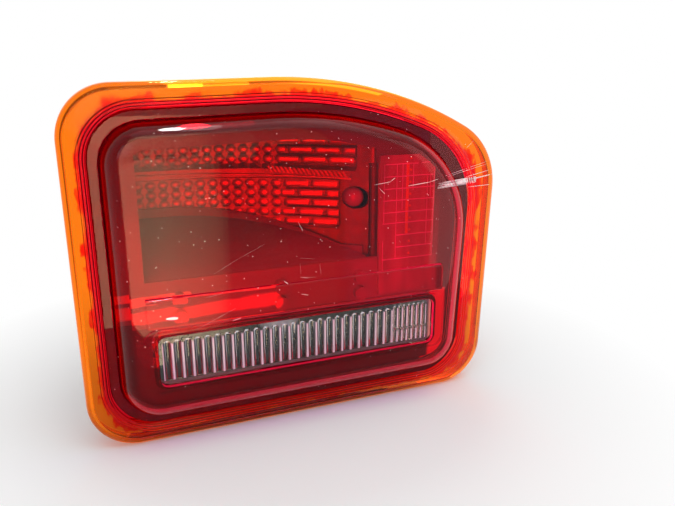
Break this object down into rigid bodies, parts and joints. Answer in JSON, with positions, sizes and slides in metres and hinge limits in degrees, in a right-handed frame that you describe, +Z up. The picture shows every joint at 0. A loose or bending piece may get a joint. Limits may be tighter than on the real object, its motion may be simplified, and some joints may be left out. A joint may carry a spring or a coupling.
{
  "type": "tail light cluster",
  "caption": "Car tail light cluster: red moulded lens with orange-red rim, fluted clear reversing window, curved reflectors, bulbs on a rear carrier and two studs.",
  "frame": {"origin": "midway between the two mounting studs, on the plane where the lamp seats on the car body", "axes": "+X to the right as seen from behind the car, facing the lens; +Y forward into the car body, along the studs; +Z up"},
  "size_m": [0.2252, 0.1195, 0.178],
  "materials": {
    "lens_red": "clear red acrylic, polished, with fine scratches",
    "lens_clear": "clear acrylic, polished, fluted inside",
    "seal_black": "matt black sealing bead",
    "bezel_dark": "dark moulded plastic, satin",
    "optic_red": "clear moulded prisms",
    "metallised": "vacuum metallised plastic, bright",
    "zinc_steel": "zinc plated steel",
    "housing_black": "black moulded plastic, fine grain",
    "carrier_grey": "dark grey moulded plastic",
    "rubber_black": "matt rubber",
    "foam_black": "closed cell foam",
    "brass_strip": "stamped brass",
    "tinned_pin": "tin plated",
    "bulb_glass": "clear bulb glass",
    "filament_wire": "drawn wire",
    "peg_nylon": "natural nylon"
  },
  "bodies": {
    "root": {"outer_lens": "lens_red", "reversing_window": "lens_clear", "lens_seal": "seal_black", "inner_bezel": "bezel_dark", "marker_optic": "optic_red", "marker_reflector": "metallised", "tail_reflector": "metallised", "chamber_floor": "bezel_dark", "reversing_reflector": "metallised", "reflector_screws": "zinc_steel", "rear_housing": "housing_black", "vent_caps": "carrier_grey", "bulb_carrier": "carrier_grey", "carrier_gasket": "rubber_black", "carrier_screws": "zinc_steel", "contact_strips": "brass_strip", "connector_socket": "housing_black", "connector_pins": "tinned_pin", "stop_tail_bulb": "bulb_glass", "stop_tail_filament": "filament_wire", "reversing_bulb_glass": "bulb_glass", "reversing_bulb_base": "brass_strip", "reversing_filament": "filament_wire", "marker_bulb": "bulb_glass", "marker_filament": "filament_wire", "mounting_studs": "zinc_steel", "stud_seals": "rubber_black", "locating_peg": "peg_nylon", "body_gasket": "foam_black", "bumper_pads": "rubber_black"}
  },
  "joints": []
}
